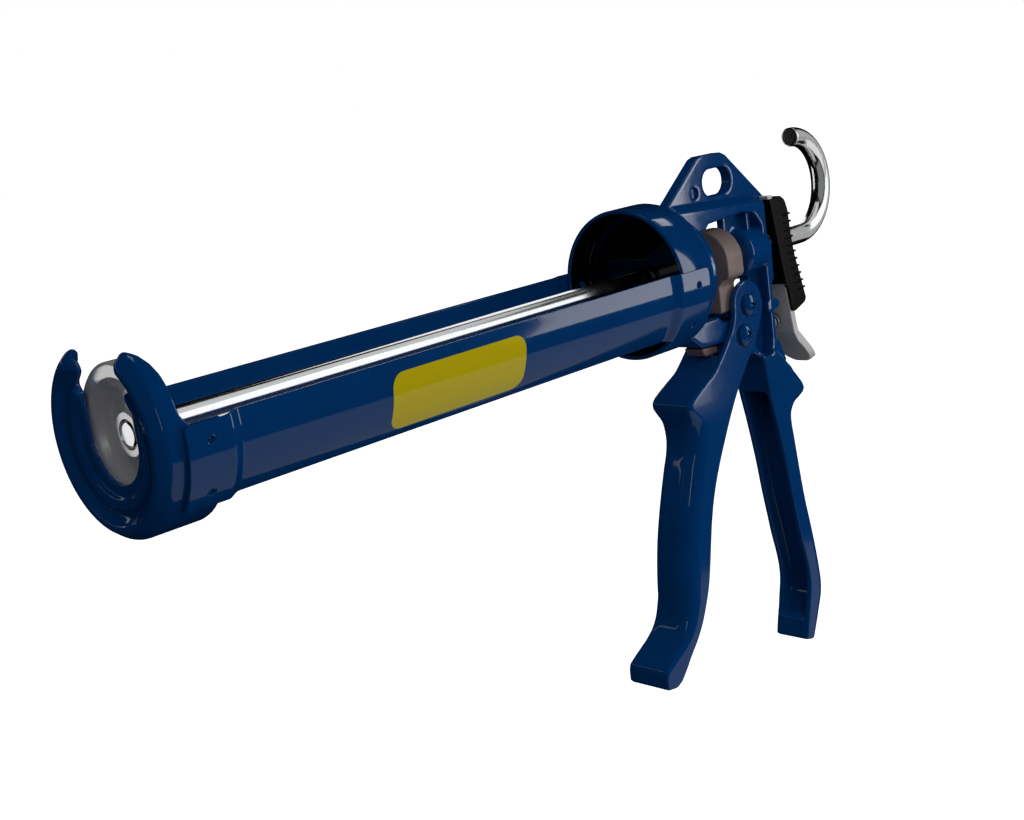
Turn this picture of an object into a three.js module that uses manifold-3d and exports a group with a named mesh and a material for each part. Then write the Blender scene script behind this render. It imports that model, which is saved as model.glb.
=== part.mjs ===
// Caulking gun for 50 mm cartridges: half-open barrel, push rod with hook, trigger and release lever.
// Millimetres. The rod's axis is X, with the nozzle end at -X, the hook at +X and up at +Z.
// The origin is the centre of the rod's front end, with the rod fully forward and the trigger open.
import * as THREE from 'three';
import { mergeVertices } from 'three/addons/utils/BufferGeometryUtils.js';
import Module from 'manifold-3d';

const wasm = await Module();
wasm.setup();

// Driving dimensions
const BARREL_R = 28;
const SHEET = 1.5;
const CAP_FACE_X = -8.2;
const CAP_BEAD_X = -5;
const CAP_UPPER_REAR_X = 0.4;
const CAP_REAR_X = 11.7;
const SLOT_R = 12.8;
const CUP_RIM_X = 208.7;
const CUP_FLOOR_X = 220.5;
const CUP_BACK_X = 229;
const RAIL_TOP_DEG = 9.5;
const RAIL_BOTTOM_DEG = -42.5;
const RAIL_FRONT_X = -0.6;
const RAIL_REAR_X = 222.8;
const RIVET_DEG = [-1.6, -31.6];
const RIVET_FRONT_X = 6.6;
const RIVET_REAR_X = 215;
const ROD_R = 4;
const ROD_BEND_X = 325;
const JOINT_GAP = 0.3;
const HOOK_R = 20.3;
const FRAME_HALF = 7;
const WEB_HALF = 1.6;
const LUG_HALF = 2.5;
const GRIP_HALF = 8;
const TRIGGER_HALF = 9.6;
const EAR_INNER = 7.3;
const PIVOT = [266.5, -30.6];
const THRUST = [271, -19.2];
const ROLLER_R = 3.6;
const DOG_X = [256.4, 266.8];
const DOG_R = 12.2;
const DOG_TAIL_HALF = 6.9;
const LEVER_TOP = [294.5, 18];
const LEVER_LEAN = 0.176;
const LEVER_HALF = 7.5;
const LEVER_THICK = 3.2;
const PAD_HALF = 8.5;
const SEGMENTS = 48;

const finish = {
  paint: { color: 0x04285a, roughness: 0.22, metalness: 0.1 },
  chrome: { color: 0xc9ccd0, roughness: 0.12, metalness: 1 },
  steel: { color: 0x9aa0a6, roughness: 0.35, metalness: 1 },
  sintered: { color: 0x78665f, roughness: 0.6, metalness: 0.4 },
  lever: { color: 0x8d8f91, roughness: 0.4, metalness: 0.9 },
  rubber: { color: 0x0a0a0c, roughness: 0.5, metalness: 0 },
  dark: { color: 0x15161a, roughness: 0.5, metalness: 0.5 },
};

// ---- Solids from three.js geometry ----

function toSolid(geometry) {
  const g = geometry.index ? geometry.toNonIndexed() : geometry.clone();
  g.deleteAttribute('normal');
  g.deleteAttribute('uv');
  const m = mergeVertices(g, 1e-4);
  return new wasm.Manifold(new wasm.Mesh({
    numProp: 3,
    vertProperties: new Float32Array(m.attributes.position.array),
    triVerts: new Uint32Array(m.index.array),
  }));
}

function toGeometry(solid) {
  const m = solid.getMesh();
  const g = new THREE.BufferGeometry();
  g.setAttribute('position', new THREE.BufferAttribute(new Float32Array(m.vertProperties), 3));
  g.setIndex(new THREE.BufferAttribute(new Uint32Array(m.triVerts), 1));
  const flat = g.toNonIndexed();
  flat.computeVertexNormals();
  return flat;
}

function outline(points) {
  return new THREE.Shape(points.map(([a, b]) => new THREE.Vector2(a, b)));
}

const SIDE_BASIS = new THREE.Matrix4().makeBasis(
  new THREE.Vector3(1, 0, 0), new THREE.Vector3(0, 0, 1), new THREE.Vector3(0, -1, 0));
const AXIAL_BASIS = new THREE.Matrix4().makeBasis(
  new THREE.Vector3(0, 1, 0), new THREE.Vector3(0, 0, 1), new THREE.Vector3(1, 0, 0));

// A side-view outline in X and Z, from y0 to y1, with its edges rounded by round.
function slab(shape, y0, y1, round = 0) {
  const s = Array.isArray(shape) ? outline(shape) : shape;
  const g = new THREE.ExtrudeGeometry(s, {
    depth: y1 - y0 - 2 * round,
    bevelEnabled: round > 0,
    bevelThickness: round,
    bevelSize: round,
    bevelOffset: -round,
    bevelSegments: 2,
    curveSegments: 10,
  });
  g.applyMatrix4(SIDE_BASIS);
  g.translate(0, y1 - round, 0);
  return toSolid(g);
}

// A front-view outline in Y and Z, from x0 to x1.
function prism(shape, x0, x1) {
  const s = Array.isArray(shape) ? outline(shape) : shape;
  const g = new THREE.ExtrudeGeometry(s, { depth: x1 - x0, bevelEnabled: false, curveSegments: 16 });
  g.applyMatrix4(AXIAL_BASIS);
  g.translate(x0, 0, 0);
  return toSolid(g);
}

// A profile of [radius, x] pairs turned about the X axis.
function turned(profile, segments = SEGMENTS, closed = false) {
  const ring = closed ? [...profile, profile[0]] : profile;
  const g = new THREE.LatheGeometry(ring.map(([r, x]) => new THREE.Vector2(r, x)), segments);
  g.rotateZ(-Math.PI / 2);
  const solid = toSolid(g);
  if (solid.volume() >= 0) {
    return solid;
  }
  const p = g.index.array;
  for (let i = 0; i < p.length; i += 3) {
    [p[i], p[i + 1]] = [p[i + 1], p[i]];
  }
  return toSolid(g);
}

function rodX(radius, x0, x1, y = 0, z = 0, segments = 32) {
  const g = new THREE.CylinderGeometry(radius, radius, x1 - x0, segments);
  g.rotateZ(-Math.PI / 2);
  g.translate((x0 + x1) / 2, y, z);
  return toSolid(g);
}

function rodY(radius, y0, y1, [x, z], segments = 32) {
  const g = new THREE.CylinderGeometry(radius, radius, y1 - y0, segments);
  g.translate(x, (y0 + y1) / 2, z);
  return toSolid(g);
}

function box(x0, x1, y0, y1, z0, z1) {
  const g = new THREE.BoxGeometry(x1 - x0, y1 - y0, z1 - z0);
  g.translate((x0 + x1) / 2, (y0 + y1) / 2, (z0 + z1) / 2);
  return toSolid(g);
}

function joined(solids) {
  return solids.reduce((sum, s) => sum.add(s));
}

function without(solid, cuts) {
  return cuts.reduce((rest, c) => rest.subtract(c), solid);
}

// A coil of round wire about the X direction.
function coil(x0, x1, y, z, radius, wire, turns) {
  const points = [];
  const steps = turns * 10;
  for (let i = 0; i <= steps; i += 1) {
    const t = i / steps;
    const a = 2 * Math.PI * turns * t;
    const x = x0 + wire + (x1 - x0 - 2 * wire) * t;
    points.push(new THREE.Vector3(x, y + radius * Math.cos(a), z + radius * Math.sin(a)));
  }
  const section = new THREE.Shape();
  section.absarc(0, 0, wire, 0, 2 * Math.PI, false);
  return toSolid(new THREE.ExtrudeGeometry(section, {
    steps,
    extrudePath: new THREE.CatmullRomCurve3(points),
    curveSegments: 3,
  }));
}

const group = new THREE.Group();

function place(name, solid, look) {
  const mesh = new THREE.Mesh(toGeometry(solid), new THREE.MeshStandardMaterial(finish[look]));
  mesh.name = name;
  group.add(mesh);
}

// ---- Front cap ----

const capProfile = [
  [SLOT_R, -4.9], [15.6, -4.9], [17.2, -6], [18.6, -6.3], [20, -5.5], [21.4, -5.3], [22.8, -6.5],
  [23.8, -7.8], [24.8, CAP_FACE_X], [26.4, -7.2], [BARREL_R, CAP_BEAD_X], [BARREL_R, CAP_REAR_X],
  [BARREL_R - SHEET, CAP_REAR_X], [BARREL_R - SHEET, -4.6], [25.2, -3.4], [SLOT_R, -3.4],
];
const capSlot = [
  [-11, 32], [-11, 20.5], [-11.6, 17], [-14, 14.6], [-SLOT_R, 11.6], [-SLOT_R, -0.5],
  [SLOT_R, -0.5], [SLOT_R, 11.6], [14, 14.6], [11.6, 17], [11, 20.5], [11, 32],
];
const frontCap = without(turned(capProfile, SEGMENTS, true), [
  prism(capSlot, -12, 20),
  box(CAP_UPPER_REAR_X, 20, -40, 40, 4, 40),
  ...rivetCuts(RIVET_FRONT_X, 1.7),
]);
place('front_cap', frontCap, 'paint');

// ---- Side rails, with ends stepped out over the cap and the cup ----

function rivetAxis(side, degrees) {
  const a = THREE.MathUtils.degToRad(degrees);
  return new THREE.Vector3(0, side * Math.cos(a), Math.sin(a));
}

function radialSolid(profile, x, direction, segments = 20) {
  const g = new THREE.LatheGeometry(profile.map(([r, h]) => new THREE.Vector2(r, h)), segments);
  g.applyQuaternion(new THREE.Quaternion().setFromUnitVectors(new THREE.Vector3(0, 1, 0), direction));
  g.translate(x, 0, 0);
  return toSolid(g);
}

function rivetCuts(x, radius) {
  const profile = [[0, BARREL_R - 4], [radius, BARREL_R - 4], [radius, BARREL_R + 4], [0, BARREL_R + 4]];
  return [-1, 1].flatMap((side) => RIVET_DEG.map((d) => radialSolid(profile, x, rivetAxis(side, d))));
}

function wedge(side) {
  const points = [[0, 0]];
  for (let i = 0; i <= 8; i += 1) {
    const a = THREE.MathUtils.degToRad(RAIL_BOTTOM_DEG + ((RAIL_TOP_DEG - RAIL_BOTTOM_DEG) * i) / 8);
    points.push([side * 40 * Math.cos(a), 40 * Math.sin(a)]);
  }
  return side > 0 ? points : points.reverse();
}

const flangeIn = BARREL_R + 0.15;
const flangeOut = flangeIn + SHEET - 0.1;
const railProfile = [
  [flangeOut, RAIL_FRONT_X], [flangeOut, 13.2], [BARREL_R, 17.2], [BARREL_R, 201.2], [flangeOut, 205.2],
  [flangeOut, RAIL_REAR_X], [flangeIn, RAIL_REAR_X], [flangeIn, 205.4], [BARREL_R - 1.3, 201.4],
  [BARREL_R - 1.3, 17], [flangeIn, 13], [flangeIn, RAIL_FRONT_X],
];
const railRing = turned(railProfile, SEGMENTS, true);
const railCuts = [...rivetCuts(RIVET_FRONT_X, 1.7), ...rivetCuts(RIVET_REAR_X, 1.7)];
for (const [name, side] of [['rail_left', -1], ['rail_right', 1]]) {
  place(name, without(railRing.intersect(prism(wedge(side), -10, 240)), railCuts), 'paint');
}

const rivetProfile = [
  [0, BARREL_R - SHEET - 0.6], [1.4, BARREL_R - SHEET - 0.6], [1.5, flangeOut - 0.25],
  [1.1, flangeOut - 0.1], [0.8, flangeOut - 1], [0, flangeOut - 1],
];
for (const [end, x] of [['front', RIVET_FRONT_X], ['rear', RIVET_REAR_X]]) {
  for (const [hand, side] of [['left', -1], ['right', 1]]) {
    RIVET_DEG.forEach((d, i) => {
      const name = `rivet_${end}_${hand}_${i ? 'lower' : 'upper'}`;
      place(name, radialSolid(rivetProfile, x, rivetAxis(side, d), 12), 'paint');
    });
  }
}

// ---- Rear cup and its screws ----

const CUP_SCREW_Z = 16.3;
const cupProfile = [
  [BARREL_R, CUP_RIM_X], [BARREL_R, 225], [27.4, 227.2], [26, 228.5], [24.2, CUP_BACK_X], [20.2, CUP_BACK_X],
  [20.2, 224], [5.2, 224], [5.2, 218.9], [7.2, 218.9], [7.2, CUP_FLOOR_X], [23.4, CUP_FLOOR_X],
  [25.4, 219.6], [BARREL_R - SHEET, 217.4], [BARREL_R - SHEET, CUP_RIM_X],
];
const cupHoles = [-1, 1].flatMap((s) => [
  rodX(3.3, 218, 222.2, 0, s * CUP_SCREW_Z, 24),
  rodX(2.1, 218, 226, 0, s * CUP_SCREW_Z, 20),
]);
place('rear_cup', without(turned(cupProfile, SEGMENTS, true), [
  ...cupHoles, ...rivetCuts(RIVET_REAR_X, 1.7),
]), 'paint');
for (const [name, s] of [['cup_screw_upper', 1], ['cup_screw_lower', -1]]) {
  const screw = turned([
    [0, 220.9], [1.9, 220.9], [2.9, 221.5], [2.9, 222.1], [1.8, 222.1], [1.8, 232], [0, 232],
  ], 20);
  place(name, screw.translate([0, 0, s * CUP_SCREW_Z]), 'dark');
}

// ---- Casting: flange, beam with hanging lug, rear wall with rod boss, and handle ----

const flange = turned([
  [0, 224.4], [19.8, 224.4], [19.8, 229.3], [21.4, 229.3], [22, 230], [22, 237.4], [21.2, 238.3], [0, 238.3],
]);
const body = slab([
  [232, -20.5], [242, -30.5], [256, -31.4], [259, -36.6], [265, -39.6], [276, -40.4], [284, -46], [287, -52],
  [297, -58], [301, -52.5], [296.4, -48.4], [293, -43], [292.3, -37], [292.5, -14.6], [294.2, -12.2],
  [294.8, 1.9], [292.5, 5], [292.5, 17.8], [291, 19.3], [237, 22.2], [232, 20.5],
], -FRAME_HALF, FRAME_HALF, 0.7);
const beamStep = slab([[234, 18], [290, 16], [289, 20.6], [238, 23.5], [234, 22]], -4.9, 4.9, 0.6);
const lug = slab([
  [231, 17], [231, 21], [257.2, 40.4], [258, 40.8], [273.6, 40.8], [274.6, 40.3], [298.6, 20], [298.6, 19],
  [291, 16.5],
], -LUG_HALF, LUG_HALF, 0.5);

const gripOutline = [
  [281, -50], [282.9, -58.3], [285.5, -68.4], [287.6, -77.6], [292, -104.6], [295.4, -124.7], [298.2, -140.8],
  [296.8, -151.9], [293.5, -163.8], [291.6, -170], [299.4, -170.4], [305, -159.8], [308.2, -151.6],
  [307.8, -142.3], [305.4, -127.9], [301.2, -108.8], [299.8, -99.6], [297.6, -80.2], [297.4, -72.8],
  [301.4, -67.2], [306.8, -65.2], [309, -62], [306.6, -58.2], [300, -52.4], [294.8, -47.4], [290, -42.6],
];
const gripSolid = slab(gripOutline, -GRIP_HALF, GRIP_HALF, 1.6);
const gripPocket = slab([
  [276, -58], [286, -58], [299.6, -57.2], [304.2, -61], [302, -63.6], [295.6, -65.4], [293.8, -73],
  [294, -80.4], [296, -99.6], [297.4, -109], [301.6, -128.4], [304.2, -142.6], [304, -151],
  [297.6, -158.6], [280, -161],
], -GRIP_HALF + 2.2, GRIP_HALF - 2.2, 0.6);

const dogWindow = [
  [241, 12.9], [241, -21.3], [255, -21.3], [257.5, -23.8], [278, -23.8], [284, -19.5], [284, -10.2],
  [270, -10.2], [270, 16], [255.5, 15.2], [253, 14.5], [252, 12.9],
];
const sidePocket = [
  [269, -11], [269, 16], [276, 16.5], [283, 15.3], [287.4, 11], [289, 6], [289, -37], [287, -43],
  [281.5, -43], [277.5, -37.5], [277.5, -24], [279, -23], [281, -18], [281, -11],
];
const pocketPair = [
  slab(sidePocket, WEB_HALF, 12),
  slab(sidePocket, -12, -WEB_HALF),
];
const rodBoss = turned([[0, 275.8], [9, 275.8], [9.9, 276.6], [9.4, 290], [0, 290]], 48);
const bossRib = slab([[282, 5], [283.8, 5], [283.8, 16.5], [282, 17]], -4.6, 4.6);
const hangingSlot = new THREE.Shape();
hangingSlot.absarc(264.3, 30, 5.2, Math.PI / 2, (3 * Math.PI) / 2, false);
hangingSlot.absarc(272.3, 30, 5.2, -Math.PI / 2, Math.PI / 2, false);
const tab = [[291, -21.6], [294.8, -21.6], [296.3, -23], [296.3, -24.4], [294.8, -25.8], [291, -25.8]];
const wedgeTab = [[291.5, -45], [291.5, -38.4], [293.4, -38.4], [297.6, -47.6], [296.4, -48.6]];
const frameCasting = without(joined([
  without(joined([flange, body, beamStep, lug, gripSolid]), [
    slab(dogWindow, -20, 20), ...pocketPair, gripPocket,
  ]),
  rodBoss,
  bossRib,
  slab(tab, -FRAME_HALF, -FRAME_HALF + 2.6),
  slab(tab, FRAME_HALF - 2.6, FRAME_HALF),
  slab(wedgeTab, -FRAME_HALF, -FRAME_HALF + 2.2),
  slab(wedgeTab, FRAME_HALF - 2.2, FRAME_HALF),
]), [
  rodX(ROD_R + 0.35, 215, 305),
  slab(hangingSlot, -6, 6),
  rodY(2.3, -6, -1.2, [253.3, 27.3], 20),
  rodY(3.35, -10, 10, PIVOT, 28),
  rodX(1.95, 224, 233, 0, CUP_SCREW_Z, 20),
  rodX(1.95, 224, 233, 0, -CUP_SCREW_Z, 20),
]);
place('frame_casting', frameCasting, 'paint');

// ---- Push rod with its hook, plunger plate and nut ----

const hookPath = new THREE.CurvePath();
const hookPoints = [];
for (let i = 0; i <= 24; i += 1) {
  const a = (Math.PI * i) / 24;
  hookPoints.push(new THREE.Vector3(
    ROD_BEND_X + HOOK_R * Math.sin(a), 0, HOOK_R - HOOK_R * Math.cos(a)));
}
hookPath.add(new THREE.CatmullRomCurve3(hookPoints));
const rodSection = new THREE.Shape();
rodSection.absarc(0, 0, ROD_R, 0, 2 * Math.PI, false);
const hook = toSolid(new THREE.ExtrudeGeometry(rodSection, {
  steps: 24, extrudePath: hookPath, curveSegments: 12,
}));
const shaftEnd = ROD_BEND_X - JOINT_GAP;
place('push_rod', turned([[0, 0], [3.2, 0], [ROD_R, 0.8], [ROD_R, shaftEnd], [0, shaftEnd]], 24), 'chrome');
place('rod_hook', hook, 'chrome');

const platePts = [
  [4.3, 2.2], [12.4, 2.2], [13.8, 1.2], [16.3, -1.9], [19.4, -1.9], [20.2, -1.4], [20.4, -0.6], [20.4, 3.6],
  [19.2, 3.6], [19.2, -0.2], [18.6, -0.6], [17, -0.6], [14.8, 2.4], [13, 3.6], [4.3, 3.6],
];
place('plunger_plate', turned(platePts, 40, true), 'chrome');
place('plunger_nut', turned([[4.3, 0], [6.3, 0], [6.8, 0.5], [6.8, 2], [4.3, 2]], 24, true), 'chrome');
const nutPts = [[4.3, 3.8], [7, 3.8], [7, 8.3], [6.6, 8.8], [4.3, 8.8]];
place('plunger_rear_nut', turned(nutPts, 24, true), 'steel');

// ---- Drive dog, its spring, and the trigger with its screws ----

function dogSection() {
  const s = new THREE.Shape();
  s.moveTo(-DOG_TAIL_HALF, -20.4);
  s.lineTo(DOG_TAIL_HALF, -20.4);
  s.lineTo(DOG_TAIL_HALF, -7.2);
  s.lineTo(DOG_R - 1.2, -6.6);
  s.lineTo(DOG_R, -5.4);
  s.lineTo(DOG_R, 0);
  s.absarc(0, 0, DOG_R, 0, Math.PI, false);
  s.lineTo(-DOG_R, -5.4);
  s.lineTo(-DOG_R + 1.2, -6.6);
  s.lineTo(-DOG_TAIL_HALF, -7.2);
  return s;
}
const dog = without(prism(dogSection(), ...DOG_X), [rodX(ROD_R + 0.3, 240, 280, 0, 0, 32)]);
place('drive_dog', dog, 'sintered');
place('dog_spring', coil(241.4, 256.1, 0, 0, 6.3, 0.7, 5), 'steel');

const triggerTop = [
  [263, -16.4], [264.6, -13], [267.6, -10.9], [271.4, -10.2], [275.2, -10.9], [278.4, -13], [280.2, -16.4],
  [280.5, -20.4], [279, -26.6], [274.6, -33.6], [268.6, -40.4], [259, -51.4], [247, -69.2],
  [237, -88], [231, -108.5], [227.6, -121], [220.6, -135.8], [212, -145.8], [203, -154.6],
];
const frontMiddle = [
  [194.6, -152.6], [193.2, -147.8], [195, -145.2], [201.9, -141.1], [207.8, -136], [210.8, -129.2],
  [212.2, -117.5], [215, -103.8], [219, -90.5], [224.5, -75.7], [227.8, -66.4], [228, -60.5], [226.4, -55.8],
  [225.2, -52.6], [225.8, -49.6], [228.7, -47.2], [234.9, -44.7], [243.4, -41], [249.4, -36],
  [255.4, -30.8], [260.4, -26.8],
];
const frontSides = [
  [195, -153], [194.6, -148], [196.6, -145.8], [203.6, -142], [210.4, -137], [214.4, -129.6],
  [216.8, -117.8], [219.6, -104.2], [223.6, -91.2], [229, -76.6], [232.2, -66.6], [231.8, -60.4], [229, -56],
  [226.2, -52.6], [226.4, -49.9], [229.2, -47.6], [235.4, -45.3], [243.8, -41.6], [249.8, -36.6],
  [255.8, -31.4], [260.6, -27.2],
];
const triggerPocket = [
  [256, -36.9], [247, -41.8], [240, -46.4], [238.6, -52], [239.4, -61], [237.6, -71], [232, -83],
  [227.6, -98], [224.6, -112], [221.4, -127], [216.4, -139], [215, -145], [240, -139], [262, -60],
  [292, -30], [292, -2], [240, -2], [240, -35.6], [250, -35.8],
];
const triggerBulk = joined([
  slab([...triggerTop, ...frontSides], -TRIGGER_HALF, TRIGGER_HALF, 1.6),
  slab([...triggerTop, ...frontMiddle], -6.4, 6.4, 2),
]);
const triggerSolid = without(triggerBulk, [
  slab(triggerPocket, -EAR_INNER, EAR_INNER),
  rodY(2.75, -12, 12, PIVOT, 24),
  rodY(2.25, -12, 12, THRUST, 24),
]);
place('trigger', triggerSolid, 'paint');

function screw([x, z], shank) {
  const head = [
    [0, -12.4], [2.2, -12.1], [3.9, -11.2], [4.7, -9.9], [shank, -9.9], [shank, 9.4], [0, 9.4],
  ];
  const cross = [box(-1.9, 1.9, -12.8, -11.3, -0.45, 0.45), box(-0.45, 0.45, -12.8, -11.3, -1.9, 1.9)];
  const g = new THREE.LatheGeometry(head.map(([r, h]) => new THREE.Vector2(r, h)), 28);
  return without(toSolid(g), cross).translate([x, 0, z]);
}
place('pivot_screw', screw(PIVOT, 2.5), 'paint');
place('thrust_screw', screw(THRUST, 2), 'paint');
const sleeve = (outer, inner, half, at) =>
  rodY(outer, -half, half, at, 28).subtract(rodY(inner, -9, 9, at, 24));
place('thrust_roller', sleeve(ROLLER_R, 2.25, 5.2, THRUST), 'steel');
place('pivot_bush', sleeve(3.1, 2.75, 6.9, PIVOT), 'steel');
const restPts = [[245, -31.5], [254.6, -32.1], [255.4, -35.2], [247.4, -35.2]];
place('rest_block', slab(restPts, -4.4, 4.4), 'sintered');

// ---- Release lever, its spring and the thumb pad ----

function leverFront(z) {
  return LEVER_TOP[0] + (LEVER_TOP[1] - z) * LEVER_LEAN;
}

function leverLine(z, offset) {
  return [leverFront(z) + offset, z];
}

const leverPlate = without(slab([
  leverLine(20.2, 0), leverLine(-38, 0), [306.6, -41.8], [318.8, -53.6], [321, -51.4], [310.6, -40.8],
  leverLine(-37.4, LEVER_THICK), leverLine(20.2, LEVER_THICK),
], -LEVER_HALF, LEVER_HALF), [
  rodX(ROD_R + 1, 280, 320, 0, 0.2, 28),
  box(290, 302, -LUG_HALF - 0.4, LUG_HALF + 0.4, 15.4, 22),
]);
place('release_lever', leverPlate, 'lever');
place('lever_spring', coil(293.3, 303.1, 0, -32.5, 2.6, 0.55, 4), 'steel');

const padCore = slab([
  leverLine(18.8, -1), leverLine(-18.3, -1), leverLine(-18.3, 0), leverLine(-27.6, 0),
  [305.6, -29], [312.6, -26.6], [313.8, -25], [311, -14], [308.6, -6], [307.2, 2], [306.4, 13],
  [304.6, 17.2], [302.4, 19],
], -PAD_HALF, PAD_HALF, 0.5);
const plateGap = slab([
  leverLine(19.9, -0.25), leverLine(-16.8, -0.25), leverLine(-16.8, -4), leverLine(-32, -4),
  leverLine(-32, LEVER_THICK + 0.25), leverLine(19.9, LEVER_THICK + 0.25),
], -LEVER_HALF - 0.25, LEVER_HALF + 0.25);
const PAD_RIBS = 11;

function padRear(z) {
  if (z > 2) {
    return 306.4 + ((13 - z) * 0.8) / 11;
  }
  if (z > -6) {
    return 307.2 + ((2 - z) * 1.4) / 8;
  }
  return 308.6 + ((-6 - z) * 5.2) / 19;
}

const ribs = [];
for (let i = 0; i < PAD_RIBS; i += 1) {
  const z = 11.4 - i * 3.15;
  const rear = padRear(z);
  ribs.push(box(rear - 5.6, rear + 0.7, -PAD_HALF - 0.35, PAD_HALF + 0.35, z - 0.4, z + 0.4));
}
const pad = without(joined([padCore, ...ribs]), [
  plateGap,
  rodX(ROD_R + 1.6, 280, 330, 0, 1.2, 28),
  box(288, 301, -LUG_HALF - 0.5, LUG_HALF + 0.5, 15.2, 22),
]);
place('thumb_pad', pad, 'rubber');

export default group;
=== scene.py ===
import math

import bmesh
import bpy
import numpy as np
import openvdb
from mathutils import Matrix, Vector


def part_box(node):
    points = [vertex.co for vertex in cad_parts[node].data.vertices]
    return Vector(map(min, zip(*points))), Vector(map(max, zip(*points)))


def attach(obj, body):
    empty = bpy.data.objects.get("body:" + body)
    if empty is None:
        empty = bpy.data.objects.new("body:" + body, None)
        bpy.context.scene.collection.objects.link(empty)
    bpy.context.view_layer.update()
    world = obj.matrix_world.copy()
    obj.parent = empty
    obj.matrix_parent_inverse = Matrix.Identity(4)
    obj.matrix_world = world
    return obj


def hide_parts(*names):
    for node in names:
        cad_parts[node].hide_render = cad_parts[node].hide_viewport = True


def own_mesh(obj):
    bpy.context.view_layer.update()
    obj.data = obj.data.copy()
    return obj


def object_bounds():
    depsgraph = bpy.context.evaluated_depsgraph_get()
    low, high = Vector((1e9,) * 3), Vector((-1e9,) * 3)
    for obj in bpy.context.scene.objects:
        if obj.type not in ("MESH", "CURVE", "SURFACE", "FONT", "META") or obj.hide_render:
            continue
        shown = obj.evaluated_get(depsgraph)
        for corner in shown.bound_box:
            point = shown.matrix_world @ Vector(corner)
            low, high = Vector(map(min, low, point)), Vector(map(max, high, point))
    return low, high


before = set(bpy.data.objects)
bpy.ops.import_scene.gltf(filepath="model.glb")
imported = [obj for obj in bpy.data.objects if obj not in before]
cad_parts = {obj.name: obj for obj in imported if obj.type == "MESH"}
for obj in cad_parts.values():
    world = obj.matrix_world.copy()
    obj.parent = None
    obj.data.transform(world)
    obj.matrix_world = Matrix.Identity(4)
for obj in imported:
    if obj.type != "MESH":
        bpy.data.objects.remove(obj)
scene = bpy.context.scene
cad_low, cad_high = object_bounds()
MM = 0.001
FINE = 1.0


def low(node):
    return np.array(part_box(node)[0]) / MM


def high(node):
    return np.array(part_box(node)[1]) / MM


# ---------------- outlines

def path(corners, turn=6.0):
    """A closed outline from (a, b) or (a, b, radius) corners, with each radius drawn as an arc."""
    points = []
    n = len(corners)
    for i, corner in enumerate(corners):
        p = np.array(corner[:2], float)
        if len(corner) < 3 or corner[2] <= 0:
            points.append(p)
            continue
        before = np.array(corners[i - 1][:2], float) - p
        after = np.array(corners[(i + 1) % n][:2], float) - p
        room = min(np.linalg.norm(before), np.linalg.norm(after)) * 0.5
        before /= np.linalg.norm(before)
        after /= np.linalg.norm(after)
        half = math.acos(float(np.clip(before @ after, -1, 1))) / 2
        reach = min(corner[2] / math.tan(half), room)
        radius = reach * math.tan(half)
        middle = before + after
        centre = p + middle / np.linalg.norm(middle) * radius / math.sin(half)
        start, end = p + before * reach - centre, p + after * reach - centre
        a0, a1 = math.atan2(start[1], start[0]), math.atan2(end[1], end[0])
        sweep = (a1 - a0 + math.pi) % (2 * math.pi) - math.pi
        steps = max(2, int(abs(math.degrees(sweep)) / turn))
        for k in range(steps + 1):
            a = a0 + sweep * k / steps
            points.append(centre + radius * np.array([math.cos(a), math.sin(a)]))
    return np.array(points)


def curve(points, steps=5):
    """A centripetal Catmull-Rom curve through the points."""
    P = [np.array(p, float) for p in points]
    P = [2 * P[0] - P[1], *P, 2 * P[-1] - P[-2]]
    out = []
    for i in range(1, len(P) - 2):
        a, b, c, d = P[i - 1:i + 3]
        t0, t1 = 0.0, math.sqrt(np.linalg.norm(b - a))
        t2 = t1 + math.sqrt(np.linalg.norm(c - b))
        t3 = t2 + math.sqrt(np.linalg.norm(d - c))
        for t in np.linspace(t1, t2, steps, endpoint=False):
            e = (t1 - t) / (t1 - t0) * a + (t - t0) / (t1 - t0) * b
            f = (t2 - t) / (t2 - t1) * b + (t - t1) / (t2 - t1) * c
            g = (t3 - t) / (t3 - t2) * c + (t - t2) / (t3 - t2) * d
            h = (t2 - t) / (t2 - t0) * e + (t - t0) / (t2 - t0) * f
            k = (t3 - t) / (t3 - t1) * f + (t - t1) / (t3 - t1) * g
            out.append((t2 - t) / (t2 - t1) * h + (t - t1) / (t2 - t1) * k)
    out.append(P[-2])
    return np.array(out)


# ---------------- distance fields

class Flat:
    """Signed distance to a closed outline, kept on a fine grid and read back between its points."""

    def __init__(self, points, step=0.2, margin=4.0):
        P = np.asarray(points, float)
        self.low = P.min(0) - margin
        self.step = step
        self.count = np.ceil((P.max(0) + margin - self.low) / step).astype(int) + 1
        a = self.low[0] + step * np.arange(self.count[0])
        b = self.low[1] + step * np.arange(self.count[1])
        A, B = np.meshgrid(a, b, indexing="ij")
        best = np.full(A.shape, 1e12)
        inside = np.zeros(A.shape, bool)
        for (x0, y0), (x1, y1) in zip(P, np.roll(P, -1, 0)):
            ex, ey = x1 - x0, y1 - y0
            size = ex * ex + ey * ey
            if size < 1e-12:
                continue
            t = np.clip(((A - x0) * ex + (B - y0) * ey) / size, 0, 1)
            best = np.minimum(best, (A - x0 - ex * t) ** 2 + (B - y0 - ey * t) ** 2)
            if y0 != y1:
                rows = (y0 <= b) != (y1 <= b)
                cross = x0 + (b[rows] - y0) * ex / ey
                inside[:, rows] ^= a[:, None] < cross[None, :]
        self.table = np.where(inside, -np.sqrt(best), np.sqrt(best))

    def __call__(self, a, b):
        u = (a - self.low[0]) / self.step
        v = (b - self.low[1]) / self.step
        cu = np.clip(u, 0, self.count[0] - 1.001)
        cv = np.clip(v, 0, self.count[1] - 1.001)
        i, j = cu.astype(int), cv.astype(int)
        fu, fv = cu - i, cv - j
        T = self.table
        near = (T[i, j] * (1 - fu) + T[i + 1, j] * fu) * (1 - fv)
        near += (T[i, j + 1] * (1 - fu) + T[i + 1, j + 1] * fu) * fv
        return near + np.hypot(u - cu, v - cv) * self.step


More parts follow.
